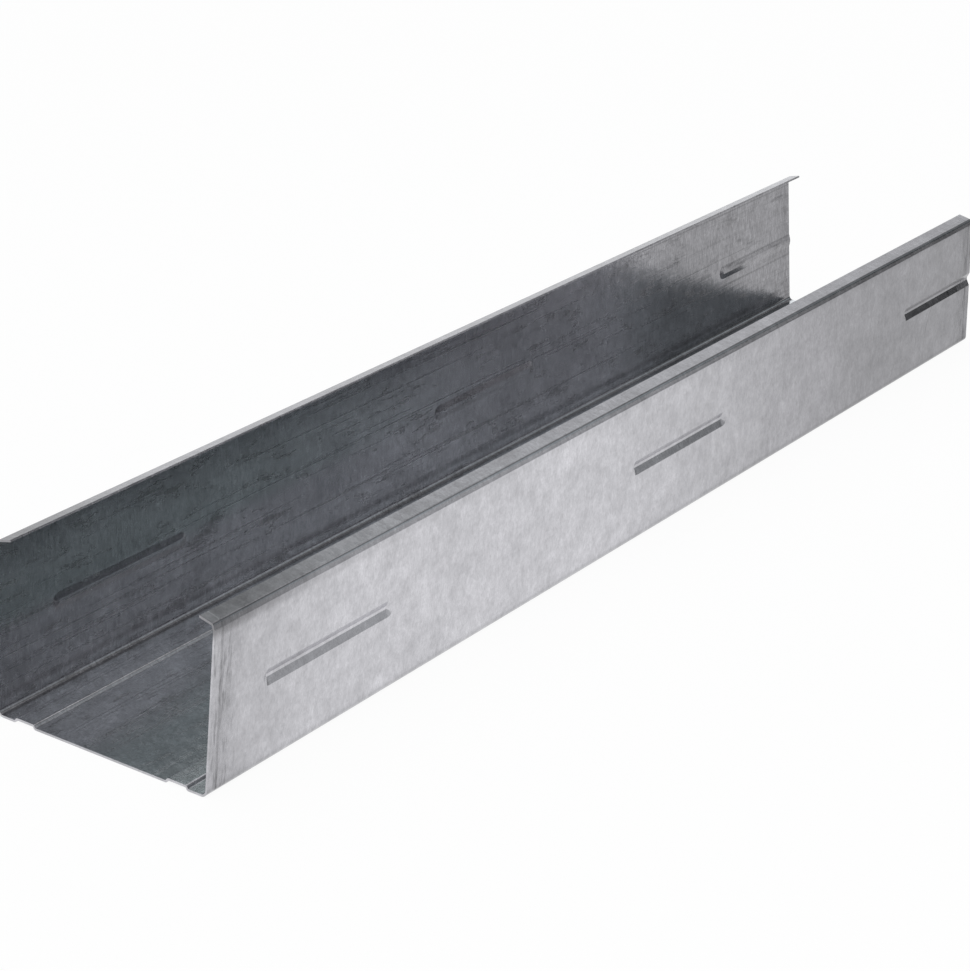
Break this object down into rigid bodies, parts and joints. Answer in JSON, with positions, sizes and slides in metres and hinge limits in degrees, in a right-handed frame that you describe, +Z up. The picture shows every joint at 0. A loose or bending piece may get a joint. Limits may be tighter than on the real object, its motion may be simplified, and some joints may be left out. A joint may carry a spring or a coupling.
{
  "type": "c-channel",
  "caption": "Lipped steel C channel with two ribs along its web and a row of short pressed beads on each flange.",
  "frame": {"origin": "middle of the web's underside, halfway along the length", "axes": "+X across the web, +Y along the length, +Z up from the web towards the open side"},
  "size_m": [0.0781, 0.414, 0.0482],
  "materials": {
    "galvanised_sheet": "dull galvanised zinc with fine spangle"
  },
  "bodies": {
    "root": {"c_channel": "galvanised_sheet"}
  },
  "joints": []
}
